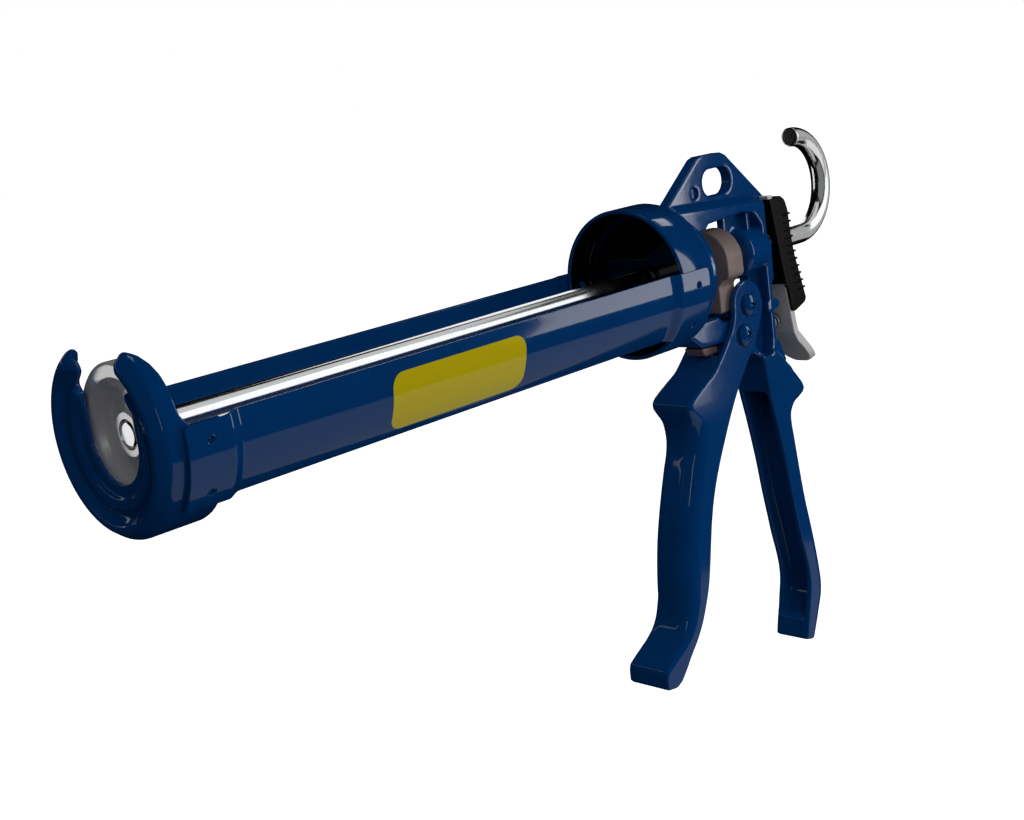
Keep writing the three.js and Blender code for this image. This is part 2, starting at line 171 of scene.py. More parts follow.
def meet(a, b, k=0.0):
    """The overlap of two fields, with its edge rounded by about k."""
    top = np.maximum(a, b)
    if np.ndim(k) == 0 and k <= 0:
        return top
    h = np.maximum(k - np.abs(a - b), 0)
    return top + h * h / (4 * k)


def join(a, b, k=0.0):
    return -meet(-a, -b, k)


def cut(a, b, k=0.0):
    return meet(a, -b, k)


def slab(flat, across, y0, y1, r):
    """A flat field given a thickness from y0 to y1, with its edges rounded by r."""
    d = flat + r
    e = np.abs(across - (y0 + y1) / 2) - (y1 - y0) / 2 + r
    return np.minimum(np.maximum(d, e), 0) + np.hypot(np.maximum(d, 0), np.maximum(e, 0)) - r


def centred(flat, across, half, r):
    """A slab that reaches half to each side."""
    return slab(flat, across, -half, half, r)


def ease(t):
    t = np.clip(t, 0, 1)
    return t * t * (3 - 2 * t)


# ---------------- meshes

def add_mesh(name, points, faces, normals=None, sharp=None):
    mesh = bpy.data.meshes.new(name)
    mesh.from_pydata(np.asarray(points, float) * MM, [], faces)
    mesh.validate()
    mesh.polygons.foreach_set("use_smooth", [True] * len(mesh.polygons))
    if sharp is not None:
        mesh.set_sharp_from_angle(angle=math.radians(sharp))
    if normals is not None:
        mesh.normals_split_custom_set_from_vertices(np.asarray(normals, float))
    obj = bpy.data.objects.new(name, mesh)
    scene.collection.objects.link(obj)
    return obj


def face_normals(points, faces):
    a, b, c, d = (points[faces[:, i]] for i in range(4))
    return np.cross(c - a, d - b)


def vertex_normals(points, faces):
    """Area-weighted normals, with small differences between neighbours evened out."""
    N = np.zeros_like(points)
    F = face_normals(points, faces)
    for i in range(4):
        np.add.at(N, faces[:, i], F)
    N /= np.maximum(np.linalg.norm(N, axis=1), 1e-12)[:, None]
    for _ in range(2):
        total = N * 2.0
        for i in range(4):
            a, b = faces[:, i], faces[:, (i + 1) % 4]
            w = np.clip(((N[a] * N[b]).sum(1) - 0.97) / 0.03, 0, 1)[:, None]
            np.add.at(total, a, N[b] * w)
            np.add.at(total, b, N[a] * w)
        N = total / np.maximum(np.linalg.norm(total, axis=1), 1e-12)[:, None]
    return N


def surface(name, field, lowest, highest, step):
    """The surface where field(x, y, z) is zero, as a mesh drawn onto it."""
    step = step * FINE
    block = 8
    lowest = np.array(lowest, float) - 3 * step
    blocks = np.ceil((np.array(highest, float) + 3 * step - lowest) / step / block).astype(int)
    index = np.stack(np.meshgrid(*[np.arange(n) for n in blocks], indexing="ij"), -1)
    middle = lowest + (index * block + (block - 1) / 2) * step
    coarse = field(*np.moveaxis(middle, -1, 0))
    span = 3 * step
    grid = np.clip(coarse, -span, span).astype(np.float32)
    for axis in range(3):
        grid = np.repeat(grid, block, axis=axis)
    near = index[np.abs(coarse) < block * step * 0.9 + 1.2]
    inner = np.stack(np.meshgrid(*[np.arange(block)] * 3, indexing="ij"), -1).reshape(-1, 3)
    for part in np.array_split(near, max(1, len(near) // 400)):
        cells = (part[:, None, :] * block + inner[None]).reshape(-1, 3)
        values = field(*(lowest + cells * step).T)
        grid[cells[:, 0], cells[:, 1], cells[:, 2]] = np.clip(values, -span, span)
    volume = openvdb.FloatGrid(span)
    volume.copyFromArray(np.ascontiguousarray(grid))
    points, faces = volume.convertToQuads(0.0)
    points = lowest + points.astype(float) * step
    faces = faces.astype(int)
    h = 0.04
    for _ in range(3):
        d = field(*points.T)
        g = np.stack([
            field(*(points + o).T) - field(*(points - o).T) for o in np.eye(3) * h
        ], 1) / (2 * h)
        move = (d / np.maximum((g * g).sum(1), 0.2))[:, None] * g
        far = np.linalg.norm(move, axis=1)[:, None]
        points = points - move * np.minimum(1, 0.5 * step / np.maximum(far, 1e-9))
    F = face_normals(points, faces)
    if (F * points[faces[:, 0]]).sum() < 0:
        faces = faces[:, ::-1]
    return add_mesh(name, points, faces.tolist(), vertex_normals(points, faces))


def rings_mesh(name, rings, sharp=35, caps=True):
    """A skin over a list of closed rings of points, all with the same count."""
    R = np.array(rings)
    count, size = R.shape[:2]
    k = np.arange(size)
    faces = []
    for i in range(count - 1):
        a, b = i * size, (i + 1) * size
        faces += np.stack([a + k, a + (k + 1) % size, b + (k + 1) % size, b + k], 1).tolist()
    if caps:
        faces.append(k[::-1].tolist())
        faces.append((k + (count - 1) * size).tolist())
    return add_mesh(name, R.reshape(-1, 3), faces, sharp=sharp)


def lathe(name, profile, segments=128, sharp=35):
    """A closed (x, r) profile turned about the X axis."""
    P = np.asarray(profile, float)
    area = (P[:, 0] * np.roll(P[:, 1], -1) - np.roll(P[:, 0], -1) * P[:, 1]).sum()
    if area > 0:
        P = P[::-1]
    a = 2 * np.pi * np.arange(segments) / segments
    R = np.concatenate([np.stack([np.full(segments, x), r * np.cos(a), r * np.sin(a)], 1) for x, r in P])
    k = np.arange(segments)
    faces = []
    for i in range(len(P)):
        p, q = i * segments, ((i + 1) % len(P)) * segments
        faces += np.stack([p + k, q + k, q + (k + 1) % segments, p + (k + 1) % segments], 1).tolist()
    obj = add_mesh(name, R, faces, sharp=sharp)
    F = np.array(faces)
    if (face_normals(R, F) * (R[F[:, 0]] - [R[:, 0].mean(), 0, 0])).sum() < 0:
        obj.data.flip_normals()
    return obj


def tube(name, line, radii, segments=32, sharp=35):
    """A round tube along a line of points, with its own radius at each point."""
    L = np.array(line, float)
    tangent = np.gradient(L, axis=0)
    tangent /= np.linalg.norm(tangent, axis=1)[:, None]
    side = np.array([0.0, 1.0, 0.0])
    rings = []
    a = 2 * np.pi * np.arange(segments) / segments
    for p, t, r in zip(L, tangent, radii):
        side = side - (side @ t) * t
        side /= np.linalg.norm(side)
        up = np.cross(t, side)
        rings.append(p + r * (np.outer(np.cos(a), side) + np.outer(np.sin(a), up)))
    return rings_mesh(name, rings, sharp=sharp)


def baked(obj):
    """Applies the object's modifiers to its mesh."""
    bpy.context.view_layer.update()
    graph = bpy.context.evaluated_depsgraph_get()
    mesh = bpy.data.meshes.new_from_object(
        obj.evaluated_get(graph), preserve_all_data_layers=True, depsgraph=graph)
    obj.modifiers.clear()
    obj.data = mesh
    return obj


def outward(obj):
    """Turns the faces of a closed mesh outwards."""
    shape = bmesh.new()
    shape.from_mesh(obj.data)
    bmesh.ops.recalc_face_normals(shape, faces=shape.faces)
    shape.to_mesh(obj.data)
    shape.free()
    return obj


def round_edges(obj, width):
    b = obj.modifiers.new("round", "BEVEL")
    b.width = width * MM
    b.segments = 3
    b.limit_method = "ANGLE"
    b.angle_limit = math.radians(50)
    b.harden_normals = False
    b.use_clamp_overlap = True


def bore(obj, cutters):
    """Cuts the cutter meshes out of the object and removes them."""
    for c in cutters:
        m = obj.modifiers.new("bore", "BOOLEAN")
        m.operation = "DIFFERENCE"
        m.solver = "MANIFOLD"
        m.object = c
    baked(obj)
    for c in cutters:
        bpy.data.objects.remove(c)


def radial(name, profile, x, side, degrees, segments=40):
    """A (radius, height) profile turned about a line that leaves the barrel's axis at an angle."""
    a = math.radians(degrees)
    axis = np.array([0, side * math.cos(a), math.sin(a)])
    across = np.array([1.0, 0, 0])
    other = np.cross(axis, across)
    t = 2 * np.pi * np.arange(segments) / segments
    rings = []
    for r, h in profile:
        rings.append([x, 0, 0] + axis * h + r * (np.outer(np.cos(t), across) + np.outer(np.sin(t), other)))
    return rings_mesh(name, rings)


# ---------------- materials

PAINT_DEEP = (0.0005, 0.055, 0.225)
PAINT_LIGHT = (0.0006, 0.060, 0.245)
PAINT_EDGE = (0.004, 0.085, 0.32)
# near black, a painted shade for the inside of the rear cup
SHADE_BLACK = (0.0008, 0.0012, 0.003)
YELLOW = (0.79, 0.63, 0.004)
LABEL_X = 98.0
LABEL_UP = -8.3
LABEL_HALF = (28.0, 9.3)
LABEL_CORNER = 4.5


def material(name, **sockets):
    m = bpy.data.materials.new(name)
    m.use_nodes = True
    shader = m.node_tree.nodes["Principled BSDF"]
    for key, value in sockets.items():
        shader.inputs[key.replace("_", " ")].default_value = value
    return m, m.node_tree.nodes, m.node_tree.links, shader


def noise(nodes, links, scale, detail=3.0, rough=0.5, stretch=(1, 1, 1)):
    """Noise in object space, scale in features per metre."""
    where = nodes.new("ShaderNodeTexCoord")
    place = nodes.new("ShaderNodeMapping")
    place.inputs["Scale"].default_value = stretch
    n = nodes.new("ShaderNodeTexNoise")
    n.inputs["Scale"].default_value = scale
    n.inputs["Detail"].default_value = detail
    n.inputs["Roughness"].default_value = rough
    links.new(where.outputs["Object"], place.inputs["Vector"])
    links.new(place.outputs["Vector"], n.inputs["Vector"])
    return n.outputs["Fac"]


def remap(nodes, links, value, low_in, high_in, low_out, high_out):
    n = nodes.new("ShaderNodeMapRange")
    for key, v in zip(("From Min", "From Max", "To Min", "To Max"), (low_in, high_in, low_out, high_out)):
        n.inputs[key].default_value = v
    links.new(value, n.inputs["Value"])
    return n.outputs["Result"]


def blend_colour(nodes, links, factor, a, b):
    n = nodes.new("ShaderNodeMix")
    n.data_type = "RGBA"
    links.new(factor, n.inputs["Factor"])
    for socket, value in ((n.inputs["A"], a), (n.inputs["B"], b)):
        if hasattr(value, "is_linked"):
            links.new(value, socket)
        else:
            socket.default_value = (*value, 1)
    return n.outputs["Result"]


def bump(nodes, links, shader, height, strength, distance):
    n = nodes.new("ShaderNodeBump")
    n.inputs["Strength"].default_value = strength
    n.inputs["Distance"].default_value = distance
    links.new(height, n.inputs["Height"])
    links.new(n.outputs["Normal"], shader.inputs["Normal"])


def paint_material(name, cover=None):
    """Gloss navy enamel: faint colour drift, slight orange peel, thin paint on the edges."""
    m, nodes, links, shader = material(
        name, Roughness=0.1, IOR=1.5, Coat_Weight=0.3, Coat_Roughness=0.03)
    drift = noise(nodes, links, 45, 2)
    tone = remap(nodes, links, drift, 0.3, 0.7, 0, 1)
    colour = blend_colour(nodes, links, tone, PAINT_DEEP, PAINT_LIGHT)
    geometry = nodes.new("ShaderNodeNewGeometry")
    edge = remap(nodes, links, geometry.outputs["Pointiness"], 0.53, 0.62, 0, 0.35)
    colour = blend_colour(nodes, links, edge, colour, PAINT_EDGE)
    if cover is not None:
        colour = cover(nodes, links, colour)
    links.new(colour, shader.inputs["Base Color"])
    fine = noise(nodes, links, 260, 3)
    links.new(remap(nodes, links, fine, 0.3, 0.7, 0.06, 0.1), shader.inputs["Roughness"])
    peel = noise(nodes, links, 650, 2, 0.45)
    bump(nodes, links, shader, peel, 0.035, 0.0001)
    return m


def metal_material(name, colour, spread, rough, scale=120, stretch=(1, 1, 1), lift=0.04, metallic=1.0):
    """Metal with a fine drift in tone and gloss, drawn along one direction where stretch says so."""
    m, nodes, links, shader = material(name, Metallic=metallic)
    tone = noise(nodes, links, scale, 4, 0.6, stretch)
    dark = tuple(c * (1 - spread) for c in colour)
    links.new(blend_colour(nodes, links, tone, dark, colour), shader.inputs["Base Color"])
    smear = noise(nodes, links, scale * 0.4, 3, 0.5, stretch)
    links.new(remap(nodes, links, smear, 0.3, 0.7, *rough), shader.inputs["Roughness"])
    grain = noise(nodes, links, scale * 6, 3, 0.6, stretch)
    bump(nodes, links, shader, grain, lift, 0.0001)
    return m


# ---------------- sizes read from the frame

BARREL_R = high("rear_cup")[2]
ROD_R = -low("push_rod")[2]
CAP_X = low("front_cap")[0]
CUP_X = low("rear_cup")[0]
CUP_END = high("rear_cup")[0]
RAIL_X = low("rail_left")[0]
RAIL_END = high("rail_left")[0]
FLANGE_R = -low("rail_left")[1]
SHEET = 1.5
PIVOT = (266.5, -30.6)
THRUST = (271.0, -19.2)
made = []


def finish_piece(obj, body, slot, mat, *nodes):
    """Gives a piece its material, the body it moves with and the nodes it stands for; its slot is not used.
    """
    obj.data.materials.clear()
    obj.data.materials.append(mat)
    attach(obj, body)
    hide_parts(*nodes)
    made.append(obj)


# ---------------- front cap

NOZZLE_R = 12.3
cap_section = Flat(path([
    (12.6, CAP_X + 3.3), (15.6, CAP_X + 3.3, 0.8), (16.8, CAP_X + 2.2, 0.5), (19.0, CAP_X + 1.7, 0.35),
    (19.5, CAP_X + 2.9, 0.35), (21.2, CAP_X + 3.1, 0.9), (22.6, CAP_X + 1.5, 1.2),
    (23.5, CAP_X + 0.1, 1.4), (25.3, CAP_X, 3.2), (BARREL_R, CAP_X + 3.3, 3.4), (BARREL_R, 11.7),
    (BARREL_R - SHEET, 11.7), (BARREL_R - SHEET, CAP_X + 4.6, 0.8), (24.6, CAP_X + 5.0), (10.0, CAP_X + 5.0),
    (10.0, CAP_X + 3.3),
]), 0.1, 3)
cap_slot = Flat(path([
    (-10.9, 34), (-10.9, 20.6, 1.5), (-11.4, 17.4, 1.5), (-14.0, 14.6, 1.2), (-NOZZLE_R, 11.8, 1.2),
    (-NOZZLE_R, 0),
    *[(NOZZLE_R * math.cos(a), 12.6 * math.sin(a)) for a in np.linspace(-math.pi, 0, 41)[1:-1]],
    (NOZZLE_R, 0), (NOZZLE_R, 11.8, 1.2),
    (14.0, 14.6, 1.2), (11.4, 17.4, 1.5), (10.9, 20.6, 1.5), (10.9, 34),
]), 0.1, 3)
cap_above = Flat(path([
    (-20, 60), (-20, 28), (-5.4, 25.8), (-3.4, 24.2), (-1.6, 22.6), (-0.4, 20.4), (0.3, 17.5),
    (0.4, 14), (0.4, 7, 1.5), (2.4, 4.2, 1.5), (40, 4.2), (40, 60),
]), 0.15, 4)


def cap_field(x, y, z):
    """A pressed cup with a slot for the nozzle, whose mouth flares out at the top of the face."""
    d = cap_section(np.hypot(y, z), x)
    depth = np.clip(CAP_X + 3.4 - x, 0, 3.4)
    flare = (3.5 - np.sqrt(3.5 ** 2 - depth ** 2)) * ease((z - 13) / 6)
    d = cut(d, cap_slot(y, z) - flare, 0.7 + 4.5 * ease((z - 18) / 5))
    return cut(d, cap_above(x, z), 0.8)


cap = surface("cap_front", cap_field, (CAP_X, -29, -29), (12, 29, 29), 0.42)

# ---------------- rails

RAIL_TOP = 9.8
RAIL_BOTTOM = -42.3
RAIL_THICK = 1.3
RAIL_WIDTH = math.radians(52) * BARREL_R


def rail_radius(x):
    """A rail's outer radius: it is stepped out over the cap and over the cup."""
    step = 1 - ease((x - 13.2) / 4.4) + ease((x - 201.0) / 5.2)
    return BARREL_R + (FLANGE_R - BARREL_R) * step


def drawn_in(distance, radius):
    """How far the end of a strip draws back at a distance from its edge, for a rounded corner."""
    if distance >= radius:
        return 0.0
    return radius - math.sqrt(radius * radius - (radius - distance) ** 2)


def rail_point(x, share, side, layer):
    """A point of the outer (0) or inner (1) skin, a share of the way from the top edge down."""
    above, below = share * RAIL_WIDTH, (1 - share) * RAIL_WIDTH
    top = RAIL_TOP - 1.6 * (1 - ease((x - 12) / 6)) - 0.8 * ease((x - 202) / 5)
    angle = math.radians(top + (RAIL_BOTTOM - top) * share)
    r = rail_radius(x) - layer * (RAIL_THICK + 0.1 * (x < 15 or x > 203))
    end_x = x
    if x < 4:
        end_x = x + max(drawn_in(above, 2.0), drawn_in(below, 1.2)) * (4 - x) / (4 - RAIL_X)
    if x > 216:
        end_x = x - max(drawn_in(above, 1.6), drawn_in(below, 4.0)) * (x - 216) / (RAIL_END - 216)
    return end_x, side * r * math.cos(angle), r * math.sin(angle)


def rail(name, side):
    """A long curved strip with rounded corners and edges."""
    xs = [RAIL_X, 0.6, 2, 4, 8, 12.4, *np.linspace(13.0, 17.8, 13), *np.linspace(22, 196, 30),
          *np.linspace(200.8, 206.4, 13), 208, 212, 216, 219, 221, RAIL_END]
    shares = np.unique(np.concatenate([
        np.linspace(0, 0.12, 9), np.linspace(0.12, 0.88, 34), np.linspace(0.88, 1, 9)]))
    skins = np.array([[[rail_point(x, t, side, layer) for t in shares] for x in xs] for layer in (0, 1)])
    nx, nt = skins.shape[1:3]

    def at(i, j, layer):
        return (layer * nx + i) * nt + j

    faces = []
    for i in range(nx - 1):
        for j in range(nt - 1):
            faces.append([at(i, j, 0), at(i, j + 1, 0), at(i + 1, j + 1, 0), at(i + 1, j, 0)])
            faces.append([at(i, j, 1), at(i + 1, j, 1), at(i + 1, j + 1, 1), at(i, j + 1, 1)])
    for i in range(nx - 1):
        faces.append([at(i, 0, 0), at(i + 1, 0, 0), at(i + 1, 0, 1), at(i, 0, 1)])
        faces.append([at(i, nt - 1, 0), at(i, nt - 1, 1), at(i + 1, nt - 1, 1), at(i + 1, nt - 1, 0)])
    for j in range(nt - 1):
        faces.append([at(0, j, 0), at(0, j, 1), at(0, j + 1, 1), at(0, j + 1, 0)])
        faces.append([at(nx - 1, j, 0), at(nx - 1, j + 1, 0), at(nx - 1, j + 1, 1), at(nx - 1, j, 1)])
    obj = add_mesh(name, skins.reshape(-1, 3), faces)
    outward(obj)
    round_edges(obj, 0.38)
    return baked(obj)


RIVETS = [
    (end, hand, level)
    for end in ("front", "rear") for hand in ("left", "right") for level in ("upper", "lower")
]


def rivet_place(node):
    """Where a rivet's axis is: its x, its side and its angle."""
    middle = (low(node) + high(node)) / 2
    return middle[0], math.copysign(1, middle[1]), math.degrees(math.atan2(middle[2], abs(middle[1])))


rails = {}
for hand, side in (("left", -1), ("right", 1)):
    strip = rail(f"rail_strip_{hand}", side)
    holes = []
    for end, h, level in RIVETS:
        if h == hand:
            place = rivet_place(f"rivet_{end}_{hand}_{level}")
            holes.append(outward(radial("hole", [(1.56, 24), (1.56, 34)], *place)))
    bore(strip, holes)
    strip.data.set_sharp_from_angle(angle=math.radians(38))
    rails[hand] = strip

# ---------------- rear cup

cup_profile = path([
    (CUP_X, BARREL_R, 0.5), (224.6, BARREL_R), (226.6, BARREL_R - 0.45, 3), (228.2, 26.2, 3),
    (CUP_END, 24, 1.2), (CUP_END, 20.2, 0.4), (224, 20.2), (224, 5.2), (218.9, 5.2, 0.3), (218.9, 7.2, 0.6),
    (220.5, 7.2, 0.6), (220.5, 23.2, 0.5), (219.6, 25.6, 2), (217.2, BARREL_R - SHEET, 2.5),
    (CUP_X, BARREL_R - SHEET, 0.5),
], 8)
cup = lathe("cup_rear", cup_profile, 160, 30)

# ---------------- casting

body_side = Flat(path([
    (226, -17), (234.5, -25.0, 1.5), (242.4, -30.8, 1.5), (256, -31.6, 1.2), (259, -36.6, 2),
    (265, -39.6, 3), (276, -40.6, 3), (284, -46, 3), (287, -52), (297, -58), (301, -52.5, 3),
    (296.4, -48.4, 2), (293.2, -43, 3), (292.3, -37, 2), (292.5, -15.4, 1.0), (294.3, -12.6, 1.6),
    (294.8, 1.4, 1.6), (292.5, 4.9, 1.0), (292.5, 17.8, 1.2), (291, 19.4, 1), (237, 22.4, 1.2), (226, 22.4),
]), 0.25)
step_one = Flat(path([(228, 14), (290, 12), (290.4, 20.1, 0.5), (237, 23.2, 0.5), (228, 23)]), 0.25)
step_two = Flat(path([(228, 14), (289, 12), (289.6, 20.9, 0.5), (238, 24.0, 0.5), (228, 23.6)]), 0.25)
lug_side = Flat(path([
    (229, 14), (229, 19.4), (256.8, 40.0, 1.6), (259.6, 40.8, 2), (272.4, 40.8, 1.6), (275.6, 39.4, 1.6),
    (298.8, 19.8, 0.6), (298.4, 18.9, 0.4), (291, 15), (286, 12),
]), 0.25)
slot_side = Flat(path([
    (259.2, 24.8, 5.19), (277.4, 24.8, 5.19), (277.4, 35.2, 5.19), (259.2, 35.2, 5.19)]), 0.15)
window_side = Flat(path([
    (241, 12.6, 1.6), (252, 13.2, 1.0), (254.6, 15.2, 1.2), (270.4, 16.1, 0.8), (270.4, -10.2, 0.8),
    (284, -10.2, 1), (284, -19.5, 1.5), (278, -23.8, 1.5), (257.5, -23.8, 1), (255, -21.3, 1),
    (241, -21.3, 1.6),
]), 0.2)
pocket_side = Flat(path([
    (266, 15.9), (270, 16.0), (277, 16.5, 3), (284.4, 15.2, 4), (288.8, 9.8, 4), (289.2, 2, 2),
    (289.2, -37, 2), (287, -43, 2), (281.5, -43, 2), (277.5, -37.5, 2), (277.5, -24, 1), (279, -22.8, 1),
    (281, -18, 1), (281, -11, 1), (266, -11),
]), 0.2)
boss_section = Flat(path([
    (0, 275.8), (8.6, 275.8, 0.7), (9.9, 277.2, 2), (9.7, 281), (9.2, 290), (0, 290)]), 0.1)
flange_section = Flat(path([
    (0, 224.4), (19.8, 224.4), (19.8, 229.3), (20.9, 229.3, 0.4), (22, 230.5, 0.7), (22, 233.4, 0.3),
    (21.4, 233.9, 0.3), (21.4, 237.2, 0.9), (20.4, 238.3, 0.9), (0, 238.3)]), 0.1)
rib_side = Flat(path([(281.7, 4), (284, 4), (284, 17), (281.7, 17)]), 0.2)
tab_side = Flat(path([
    (288, -21.6), (294.6, -21.6, 1.4), (296.4, -22.8, 1.4), (296.4, -24.6, 1.4), (294.6, -25.8, 1.4),
    (288, -25.8),
]), 0.15)
wedge_side = Flat(path([
    (289, -45), (289, -38.3), (293.6, -38.3, 0.8), (297.7, -47.8, 0.8), (296.2, -48.8, 0.6)]), 0.15)

BODY_HALF = 7.0
LUG_HALF = 2.5
WEB_HALF = 1.6
GRIP_HALF = 8.0
CHANNEL_HALF = 5.9
grip_back = curve([
    (299.8, -170.8), (302.6, -165.2), (305.2, -159.6), (307.4, -154.6), (308.3, -149.4), (308.0, -142.6),
    (305.9, -128.0), (302.2, -109), (300.8, -99.6), (299.6, -90), (298.4, -80.0), (297.8, -75.4),
    (298.0, -70.8), (300.6, -67.6), (304.6, -66.0), (307.9, -64.4), (309.0, -62.0), (308.0, -59.6),
    (305.4, -56.9), (300.4, -52.4), (295.4, -47.6), (290, -42.6), (284, -38),
])
grip_side = Flat(np.concatenate([
    [(276, -38), (272, -60), (272, -176), (296, -176), (298.6, -173.0)], grip_back]), 0.25)
grip_front = curve([
    (280.2, -42), (281.0, -50), (282.2, -58.3), (284.6, -68.4), (286.6, -77.6), (289.0, -90),
    (291.2, -104.6), (293.3, -116), (294.9, -124.7), (297.1, -134), (298.2, -140.8), (298.0, -147),
    (296.8, -151.9), (295.2, -158.2), (293.5, -163.8), (290.6, -176)])
grip_limit = Flat(np.concatenate([grip_front, [(330, -176), (330, -42)]]), 0.25)
grip_end = Flat([
    (276, -171.8), (291.8, -170.3), (300.4, -172.8), (330, -172.8), (330, -30), (266, -30)], 0.25)
channel_side = Flat(np.concatenate([
    [(272, -58.6), (286.0, -58.4), (297.0, -57.4), (301.4, -58.8), (303.6, -61.4), (301.6, -63.8)],
    curve([(297.6, -65.2), (294.6, -68.2), (293.4, -73.0), (293.7, -80), (296.2, -99.4), (297.6, -109),
           (301.8, -128.4), (304.2, -142.6), (303.8, -150.4), (300.6, -156.4), (297.0, -160.6),
           (288, -163)]),
    [(272, -164)],
]), 0.25)


def casting_field(x, y, z):
    """Lug, top beam, window, boss, rear wall and channelled handle, as one casting."""
    radius = np.hypot(y, z)
    d = centred(body_side(x, z), y, BODY_HALF, 0.9)
    d = join(d, centred(step_one(x, z), y, 5.9, 0.45), 0.4)
    d = join(d, centred(step_two(x, z), y, 4.3, 0.45), 0.4)
    d = join(d, centred(lug_side(x, z), y, LUG_HALF, 0.55), 1.0)
    d = join(d, flange_section(radius, x), 0.8)
    handle = centred(grip_side(x, z), y, GRIP_HALF, 1.2 + 2.2 * ease((-z - 50) / 12))
    handle = meet(meet(handle, grip_limit(x, z), 1.0), grip_end(x, z), 1.4)
    d = join(d, handle, 2.0)
    d = cut(d, centred(window_side(x, z), y, 20, 0), 0.8)
    pocket = pocket_side(x, z)
    d = cut(d, slab(pocket, y, WEB_HALF, 12, 0.9), 0.8)
    d = cut(d, slab(pocket, y, -12, -WEB_HALF, 0.9), 0.8)
    d = cut(d, centred(channel_side(x, z), y, CHANNEL_HALF, 1.6), 0.9)
    d = join(d, boss_section(radius, x), 1.2)
    d = join(d, centred(rib_side(x, z), y, 4.8, 0.4), 1.0)
    for side in (-1, 1):
        d = join(d, slab(tab_side(x, z), y * side, 4.4, BODY_HALF, 0.5), 0.5)
        d = join(d, slab(wedge_side(x, z), y * side, 4.8, BODY_HALF, 0.4), 0.5)
    d = cut(d, radius - (ROD_R + 0.35), 0.6)
    d = cut(d, centred(slot_side(x, z), y, 6, 0), 0.9)
    d = cut(d, slab(np.hypot(x - 253.3, z - 27.3) - 2.2, y, -6, -1.2, 0.2), 0.5)
    return cut(d, centred(np.hypot(x - PIVOT[0], z - PIVOT[1]) - 3.35, y, 10, 0), 0.4)


casting = surface("casting", casting_field, (224, -22.5, -173), (311, 22.5, 41.5), 0.42)

# ---------------- push rod, plunger and nuts

hook_r = (high("rod_hook")[2] - ROD_R) / 2
bend_x = high("rod_hook")[0] - hook_r - ROD_R
half_turn = np.linspace(0, math.pi, 73)
rod_line = [(0, 0, 0), (0.01, 0, 0), (0.3, 0, 0), (0.8, 0, 0)]
rod_line += [(x, 0, 0) for x in np.linspace(2, bend_x - 1, 60)]
rod_line += [(bend_x + hook_r * math.sin(a), 0, hook_r - hook_r * math.cos(a)) for a in half_turn]
rod_line += [(bend_x - back, 0, 2 * hook_r) for back in (0.25, 0.4, 0.41)]
rod_radii = [3.0, 3.2, 3.7] + [ROD_R] * 134 + [ROD_R - 0.08, ROD_R - 0.4, ROD_R - 0.6]
rod = tube("rod_with_hook", rod_line, rod_radii, 56, 30)

RING_BORE = 4.3
plate_profile = path([
    (2.2, RING_BORE), (2.2, 12.2, 1.0), (1.0, 13.6, 1.2), (-1.9, 16.2, 1.0), (-1.9, 19.6, 0.8),
    (-1.1, 20.4, 0.7), (3.6, 20.4, 0.3), (3.6, 19.3, 0.3), (-0.1, 19.2, 0.6), (-0.7, 18.6, 0.5),
    (-0.7, 16.9, 0.6), (2.4, 14.8, 0.6), (3.6, 13.0, 0.6), (3.6, RING_BORE)])
plate = lathe("plunger_dish", plate_profile, 160, 40)
nut_front = lathe("plunger_ring", path([
    (0, RING_BORE, 0.15), (0, 6.4, 0.5), (2.0, 6.8, 0.2), (2.0, RING_BORE, 0.2)]), 96, 30)
nut_rear = lathe("plunger_back_ring", path([
    (3.8, RING_BORE), (3.8, 7.0, 0.3), (8.8, 7.0, 0.9), (8.8, RING_BORE, 0.3)]), 64, 30)

# ---------------- dog, trigger and screws

dog_x0, dog_x1 = low("drive_dog")[0], high("drive_dog")[0]
dog_r = high("drive_dog")[2]
TAIL_HALF = 6.9
dog_face = Flat(path([
    (-TAIL_HALF, -20.4, 1.0), (TAIL_HALF, -20.4, 1.0), (TAIL_HALF, -9.6, 1.6), (9.0, -7.4, 1.6),
    (dog_r - 0.8, -6.6, 1.0), (dog_r, -5.4, 1.0),
    *[(dog_r * math.cos(a), dog_r * math.sin(a)) for a in np.linspace(0, math.pi, 61)],
    (-dog_r, -5.4, 1.0), (-dog_r + 0.8, -6.6, 1.0), (-9.0, -7.4, 1.6), (-TAIL_HALF, -9.6, 1.6)]), 0.15)


def dog_field(x, y, z):
    d = slab(dog_face(y, z), x, dog_x0, dog_x1, 0.45)
    return cut(d, np.hypot(y, z) - (ROD_R + 0.3), 0.4)


dog = surface("dog", dog_field, (dog_x0, -13, -21), (dog_x1, 13, 13), 0.34)

TRIGGER_HALF = high("trigger")[1]
trigger_rear = curve([
    (281.0, -19.0), (280.6, -22.5), (278.4, -27.4), (275.0, -33.0), (268.6, -40.4), (259.0, -51.4),
    (252.8, -60), (247.0, -69.2), (241.6, -78.4), (237, -88), (233.6, -98), (231.0, -108.5), (229.2, -116),
    (227.2, -122.8), (224.0, -130), (220.8, -135.8), (216.8, -141), (212, -145.8), (208.0, -150.2),
    (205.4, -152.7)])
trigger_front = curve([
    (195.4, -148.4), (196.0, -146.2), (198.2, -144.4), (203.4, -141.1), (207.0, -138.6), (209.6, -136.0),
    (211.5, -132.4), (212.4, -128), (213.6, -117.5), (216.1, -103.8), (220.0, -90.5), (225.4, -75.7),
    (227.8, -70), (228.8, -65.6), (229.0, -60.8), (228.2, -57.0), (227.2, -54.4), (226.6, -52.0),
    (226.8, -49.9), (228.0, -48.3), (230.2, -47.0), (235.4, -44.7), (239.6, -42.9), (243.6, -41.0),
    (249.4, -36.3), (254.8, -31.0), (258.6, -26.7), (260.6, -22.4), (261.0, -18.8)])
ear_top = [
    (270.9 + 9.8 * math.cos(a), -18.9 + 9.6 * math.sin(a)) for a in np.linspace(math.pi * 0.97, 0.05, 33)]
